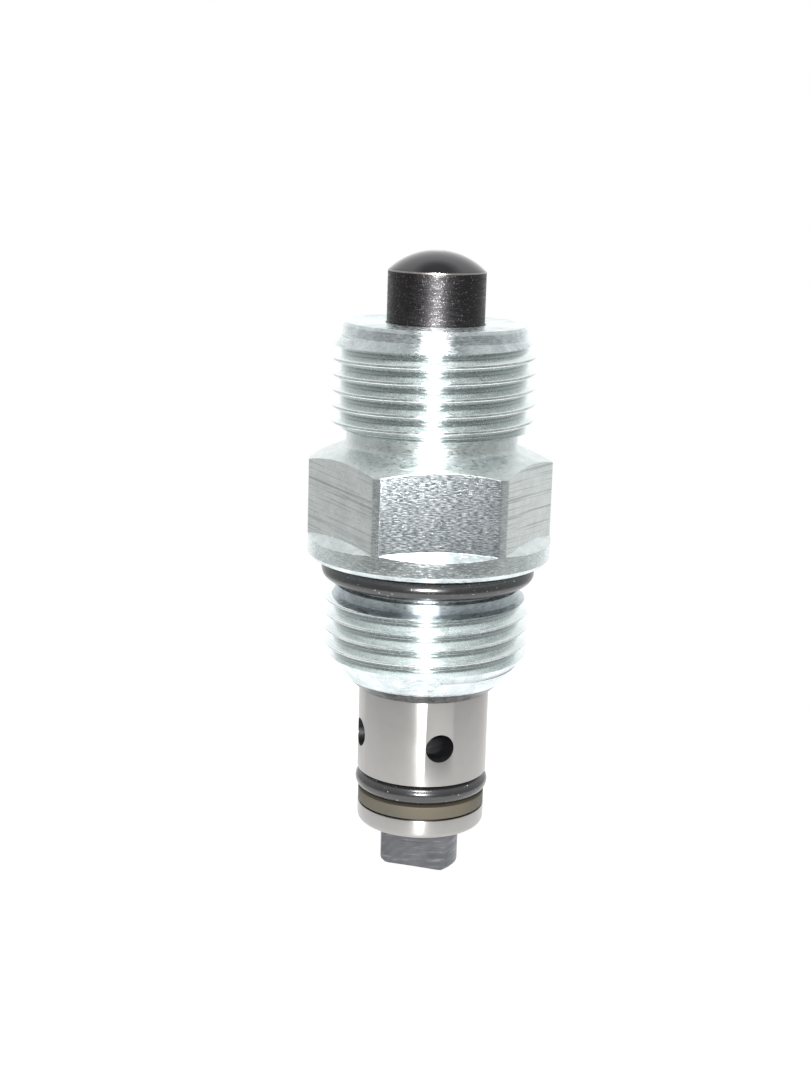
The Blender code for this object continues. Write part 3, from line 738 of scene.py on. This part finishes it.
def sleeve():
    """Ground sleeve with its cross holes, seal grooves and seat."""
    nose = arc((NOSE_LAND_R - NOSE_ROUND_R, SLEEVE_END + NOSE_ROUND_R), NOSE_ROUND_R, 0.0, -90.0, 8)
    outside = [(SLEEVE_R - 0.3, SLEEVE_TOP, 0.05), (SLEEVE_R, SLEEVE_TOP - 0.3, 0.05),
               (SLEEVE_R, SLEEVE_GROOVE[1], 0.05), (SLEEVE_GROOVE_R, SLEEVE_GROOVE[1], 0.08),
               (SLEEVE_GROOVE_R, SLEEVE_GROOVE[0], 0.08), (SLEEVE_R, SLEEVE_GROOVE[0], 0.05),
               (SLEEVE_R, SNAP_GROOVE[1], 0.03), (SNAP_GROOVE_SLEEVE_R, SNAP_GROOVE[1], 0.1),
               (SNAP_GROOVE_SLEEVE_R, SNAP_GROOVE[0], 0.1), (SLEEVE_R, SNAP_GROOVE[0], 0.03),
               (SLEEVE_R, NOSE_GROOVE[1], 0.07), (NOSE_GROOVE_R, NOSE_GROOVE[1], 0.15),
               (NOSE_GROOVE_R, NOSE_GROOVE[0], 0.15), (NOSE_LAND_R, NOSE_GROOVE[0], 0.06)]
    bore = [(SEAT_MOUTH_R, SLEEVE_END, 0.04), (SEAT_BORE_R, SLEEVE_END + 1.0, 0.04),
            (SEAT_BORE_R, FLOW_BORE_END - 0.8, 0.05), (FLOW_BORE_R, FLOW_BORE_END, 0.05),
            (FLOW_BORE_R, GUIDE_STEP, 0.03), (SPRING_BORE_R, GUIDE_STEP, 0.03),
            (SPRING_BORE_R, SLEEVE_TOP, 0.05)]
    mesh = turned("sleeve_fine", outside + nose + bore)
    for material in (STEEL, HOLE_SHADE):
        mesh.materials.append(material)
    mesh = cut(mesh, [drill(f"drill_{i}", HOLE_TURN + 90.0 * i) for i in range(2)])
    mesh.name = "sleeve_fine"
    soften_hole_rims(mesh)
    piece("sleeve_fine", mesh, "cartridge", "sleeve", (STEEL, HOLE_SHADE))


def push_pin():
    """Black pin: dome with a small centre flat, shank, piston with its seal groove, spigot."""
    rise = PIN_TIP - DOME_EDGE
    centre = (DOME_EDGE + PIN_TIP) / 2 + (TIP_FLAT_R ** 2 - DOME_EDGE_R ** 2) / (2 * rise)
    sphere = math.hypot(DOME_EDGE_R, DOME_EDGE - centre)
    start = math.degrees(math.atan2(PIN_TIP - centre, TIP_FLAT_R))
    end = math.degrees(math.atan2(DOME_EDGE - centre, DOME_EDGE_R))
    section = [(0.0, PIN_TIP - 0.03, 0.0), (TIP_FLAT_R * 0.7, PIN_TIP - 0.03, 0.05)]
    section += arc((0.0, centre), sphere, start, end, 20)
    section += [(PIN_R, DOME_EDGE - 0.14, 0.06), (PIN_R, PIN_SHOULDER, 0.05),
                (PISTON_R - 0.2, PIN_SHOULDER, 0.05), (PISTON_R, PIN_SHOULDER - 0.2, 0.05),
                (PISTON_R, PIN_GROOVE[1], 0.05), (PIN_GROOVE_R, PIN_GROOVE[1], 0.1),
                (PIN_GROOVE_R, PIN_GROOVE[0], 0.1), (PISTON_R, PIN_GROOVE[0], 0.05),
                (PISTON_R, PISTON_BOTTOM, 0.1), (SPIGOT_R, PISTON_BOTTOM, 0.15),
                (SPIGOT_R, SPIGOT_END + 0.5, 0.05), (SPIGOT_R - 0.5, SPIGOT_END, 0.05),
                (0.0, SPIGOT_END, 0.0)]
    mesh = turned("push_pin_fine", section)
    materials = (OXIDE, POLISHED, WORN_RIM_HIGHLIGHT)
    for material in materials:
        mesh.materials.append(material)
    for face in mesh.polygons:
        height = face.center.z * 1000
        look = OXIDE
        if height > DOME_EDGE + 0.02:
            look = POLISHED
        # lighter rim under the dome edge: painted rim highlight as well as wear
        elif height > DOME_EDGE - 0.18:
            look = WORN_RIM_HIGHLIGHT
        face.material_index = materials.index(look)
    piece("push_pin_fine", mesh, "pin", "push_pin", materials)


def o_ring(node, body):
    """A round-section ring that fills its CAD node's box."""
    low, high = (v * 1000 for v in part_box(node))
    section = (high.z - low.z) / 2
    centre = (high.x - section, (high.z + low.z) / 2)
    outline = [(r, z, 0.0) for r, z in circle(section, 36) + np.array(centre)]
    piece(node + "_fine", turned(node, outline), body, node, (RUBBER,), 60.0)


def flat_ring(node, body, inner, edge, material):
    """A rectangular-section ring with small edge rounds, as wide and high as its CAD node."""
    low, high = (v * 1000 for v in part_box(node))
    outer = high.x
    section = [(outer, high.z, edge), (outer, low.z, edge), (inner, low.z, edge),
               (inner, high.z, edge)]
    piece(node + "_fine", turned(node, section), body, node, (material,))


def coil_spring(node, body, wire, mean_radius, coils):
    """A coil spring with closed, ground ends, as high as its CAD node."""
    low, high = (v.z * 1000 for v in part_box(node))
    per_coil = 64
    turns = np.linspace(0.0, coils, round(coils * per_coil) + 1)
    closed = np.minimum(turns, END_COILS) + np.maximum(0.0, turns - (coils - END_COILS))
    closed_rise = wire * 1.05
    first, last = low + wire * 0.35, high - wire * 0.35
    open_rise = (last - first - 2 * END_COILS * closed_rise) / (coils - 2 * END_COILS)
    heights = first + closed_rise * closed + open_rise * (turns - closed)
    mesh = swept(node + "_fine", np.full(len(turns), mean_radius), 360.0 * turns, heights,
                 circle(wire / 2, 24), (low, high))
    return piece(node + "_fine", mesh, body, node, (WIRE,), 50.0)


def springs():
    """Both springs, each with a mesh of its own, standing on its lower end."""
    spring = coil_spring("pin_return_spring", "cartridge", *PIN_SPRING)
    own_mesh(spring)
    spring = coil_spring("poppet_spring", "cartridge", *POPPET_SPRING)
    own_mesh(spring)


def snap_ring():
    """Open round wire ring with a gap of 30 degrees between its ends."""
    angles = np.linspace(15.0, 345.0, 121)
    low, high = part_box("sleeve_snap_ring")
    heights = np.full(len(angles), (low.z + high.z) * 500)
    radii = np.full(len(angles), SNAP_RING_R)
    mesh = swept("sleeve_snap_ring_fine", radii, angles, heights, circle(SNAP_WIRE_R, 20))
    piece("sleeve_snap_ring_fine", mesh, "cartridge", "sleeve_snap_ring",
          (WIRE,), 50.0)


def clustered_angles(turn, flats, corner):
    """Plan angles with columns gathered at the edges of milled flats."""
    step = 360.0 / flats
    near = corner + np.array([-1.2, -0.5, -0.15, 0.15, 0.5, 1.2])
    half = np.concatenate([np.linspace(0.0, near[0] - 1.0, 16), near,
                           np.linspace(near[-1] + 1.0, step / 2, 12)[:-1]])
    sector = np.concatenate([-half[:0:-1], half, [step / 2]])
    return np.concatenate([turn + step * i + sector for i in range(flats)])


def poppet():
    """Poppet with its stem, seat cone and the two flats of its tail."""
    cone_foot = SLEEVE_END + SEAT_MOUTH_R - POPPET_R - SEAT_GAP * math.sqrt(2.0)
    cone_top = cone_foot + POPPET_R - (STEM_R + 0.1)
    turn = -90.0 + FLATS_TURN

    def section(angle):
        tail = flat_radius(angle, FLAT_DISTANCE, 2, POPPET_R, turn)
        tip = blunt_min(tail, POPPET_R - TAIL_CHAMFER, 30.0)
        stem = [(0.0, STEM_TOP, 0.0), (STEM_THREAD_R - 0.4, STEM_TOP, 0.05),
                (STEM_THREAD_R, STEM_TOP - 0.4, 0.05), (STEM_THREAD_R, STEM_SHOULDER, 0.03),
                (STEM_R - 0.1, STEM_SHOULDER, 0.03), (STEM_R, STEM_SHOULDER - 0.1, 0.05),
                (STEM_R, cone_top + 0.3, 0.1), (STEM_R + 0.1, cone_top, 0.05)]
        head = [(POPPET_R, cone_foot, 0.06), (POPPET_R, FLATS_TOP + 0.05, 0.05),
                (tail, FLATS_TOP, 0.12), (tail, POPPET_END + TAIL_CHAMFER, 0.18),
                (tip, POPPET_END, 0.16), (0.0, POPPET_END, 0.0)]
        return stem + head

    corner = math.degrees(math.acos(FLAT_DISTANCE / POPPET_R))
    mesh = turned("poppet_fine", section, clustered_angles(turn, 2, corner))
    piece("poppet_fine", mesh, "poppet", "poppet", (HARD_STEEL,))


def stem_nut():
    """Hex lock nut with both faces chamfered."""
    low, high = (v.z * 1000 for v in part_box("stem_nut"))
    corner = 2 * NUT_FLAT / math.sqrt(3.0)
    face_r = corner - 0.35

    def section(angle):
        hexagon = flat_radius(angle, NUT_FLAT, 6, corner - 0.02)
        drop = max(0.0, hexagon - face_r) * 0.577 + 0.02
        face = min(hexagon, face_r)
        return [(face, high, 0.03), (hexagon, high - drop, 0.03), (hexagon, low + drop, 0.03),
                (face, low, 0.03), (NUT_BORE_R, low, 0.1), (NUT_BORE_R, high, 0.1)]

    mesh = turned("stem_nut_fine", section, clustered_angles(-90.0, 6, 22.0))
    piece("stem_nut_fine", mesh, "poppet", "stem_nut", (WIRE,))


valve_body()
sleeve()
push_pin()
o_ring("boss_o_ring", "cartridge")
o_ring("nose_o_ring", "cartridge")
o_ring("sleeve_o_ring", "cartridge")
o_ring("pin_o_ring", "pin")
flat_ring("nose_backup_ring", "cartridge", 4.8, 0.08, PTFE)
flat_ring("pin_backup_ring", "pin", 4.5, 0.08, PTFE)
flat_ring("pin_spring_washer", "cartridge", 3.3, 0.12, HARD_STEEL)
flat_ring("spring_retainer", "poppet", 2.2, 0.12, HARD_STEEL)
flat_ring("stem_guide", "cartridge", 2.6, 0.25, BUSH)
springs()
snap_ring()
poppet()
stem_nut()

# ---------------------------------------------------------------- floor, light and camera


def floor():
    """Round pale floor, just below the lowest reach of the opened poppet's tail."""
    top = POPPET_END - PRESS - FLOOR_GAP
    bottom = top - FLOOR_THICKNESS
    section = [(0.0, top, 0.0), (FLOOR_R, top, 0.3), (FLOOR_R, bottom, 0.3), (0.0, bottom, 0.0)]
    mesh = turned("floor", section, np.linspace(0.0, 360.0, 96, endpoint=False))
    s = Shader("floor_paper", specular=0.1)
    s.bsdf.inputs["Roughness"].default_value = 0.8
    s.bsdf.inputs["Emission Color"].default_value = (1.0, 1.0, 1.0, 1.0)
    s.bsdf.inputs["Emission Strength"].default_value = 0.78
    fibres = s.noise(900.0, 3.0, 0.6)
    paper = s.mixed(fibres, (0.33, 0.33, 0.33), (0.37, 0.37, 0.37))
    s.tree.links.new(paper, s.bsdf.inputs["Base Color"])
    mesh.materials.append(s.material)
    obj = link_object("floor", mesh)


def toward_camera(elevation=0.0):
    """Unit vector from the valve towards the camera's side."""
    turn, lift = math.radians(CAMERA_TURN), math.radians(elevation)
    level = math.cos(lift)
    return Vector((-math.sin(turn) * level, -math.cos(turn) * level, math.sin(lift)))


def world():
    """A light tent with a dark opening overhead: bright behind, dim on the camera's side."""
    made = bpy.data.worlds.new("tent")
    bpy.context.scene.world = made
    made.use_nodes = True
    tree = made.node_tree
    tree.nodes.clear()

    def node(kind, inputs=(), **settings):
        return add_node(tree, kind, inputs, settings)

    direction = node("ShaderNodeTexCoord").outputs["Generated"]
    front = node("ShaderNodeVectorMath", {0: direction, 1: toward_camera()},
                 operation="DOT_PRODUCT").outputs["Value"]
    back = node("ShaderNodeMapRange", {"Value": front, "From Min": 1.0, "From Max": -1.0})
    ramp = node("ShaderNodeValToRGB", {"Fac": back.outputs[0]})
    stops = ramp.color_ramp.elements
    while len(stops) < len(TENT_LEVELS):
        stops.new(0.5)
    for stop, (where, level) in zip(stops, TENT_LEVELS):
        stop.position = where
        stop.color = (level / 2, level / 2, level / 2, 1.0)
    height = node("ShaderNodeSeparateXYZ", {0: direction}).outputs["Z"]
    above = node("ShaderNodeMapRange", {"Value": height, "From Min": 0.0, "From Max": 1.0,
                                        "To Max": TENT_TOP_LEVEL})
    tent = node("ShaderNodeMath", {0: ramp.outputs[0], 1: 2.0, 2: above.outputs[0]},
                operation="MULTIPLY_ADD")
    opening = node("ShaderNodeMapRange", {"Value": height, "From Min": 0.84, "From Max": 0.96,
                                          "To Min": 1.0, "To Max": 0.35})
    level = node("ShaderNodeMath", {0: tent.outputs[0], 1: opening.outputs[0]},
                 operation="MULTIPLY")
    light = node("ShaderNodeBackground", {"Color": (0.985, 1.0, 1.0, 1.0),
                                          "Strength": level.outputs[0]})
    paper = node("ShaderNodeBackground", {"Color": (1.0, 1.0, 1.0, 1.0), "Strength": 1.0})
    seen = node("ShaderNodeLightPath").outputs["Is Camera Ray"]
    both = node("ShaderNodeMixShader", {0: seen, 1: light.outputs[0], 2: paper.outputs[0]})
    node("ShaderNodeOutputWorld", {"Surface": both.outputs[0]})


def area_light(name, place, aim_z, size, power):
    """A round white lamp at a place, aimed at a height on the valve's axis, in metres."""
    lamp = bpy.data.lights.new(name, "AREA")
    lamp.shape = "DISK"
    lamp.size = size
    lamp.energy = power
    obj = link_object(name, lamp)
    obj.location = place
    obj.rotation_mode = "QUATERNION"
    obj.rotation_quaternion = (Vector((0.0, 0.0, aim_z)) - place).to_track_quat("-Z", "Y")
    obj.visible_camera = False


def camera():
    """The scene's camera. Returns its place."""
    data = bpy.data.cameras.new("camera")
    data.lens = CAMERA_LENS
    data.sensor_width = 36.0
    data.sensor_fit = "AUTO"
    data.clip_start, data.clip_end = 0.005, 10.0
    obj = link_object("camera", data)
    back = toward_camera(CAMERA_ELEVATION)
    place = Vector((0.0, 0.0, CAMERA_AIM_Z)) + back * CAMERA_DISTANCE
    turn = (-back).to_track_quat("-Z", "Y").to_matrix().to_4x4()
    yaw = Matrix.Rotation(math.radians(CAMERA_YAW), 4, "Y")
    roll = Matrix.Rotation(math.radians(CAMERA_ROLL), 4, "Z")
    obj.matrix_world = Matrix.Translation(place) @ turn @ yaw @ roll
    bpy.context.scene.camera = obj
    return place


floor()
world()
eye = camera()
area_light("flash", eye + Vector((0.0, 0.0, FLASH_ABOVE_LENS)), -0.003, size=0.022, power=0.60)
area_light("overhead", toward_camera(OVERHEAD_ELEVATION) * 0.22, 0.005, size=0.05, power=0.4)
bpy.context.scene.view_settings.view_transform = "Standard"
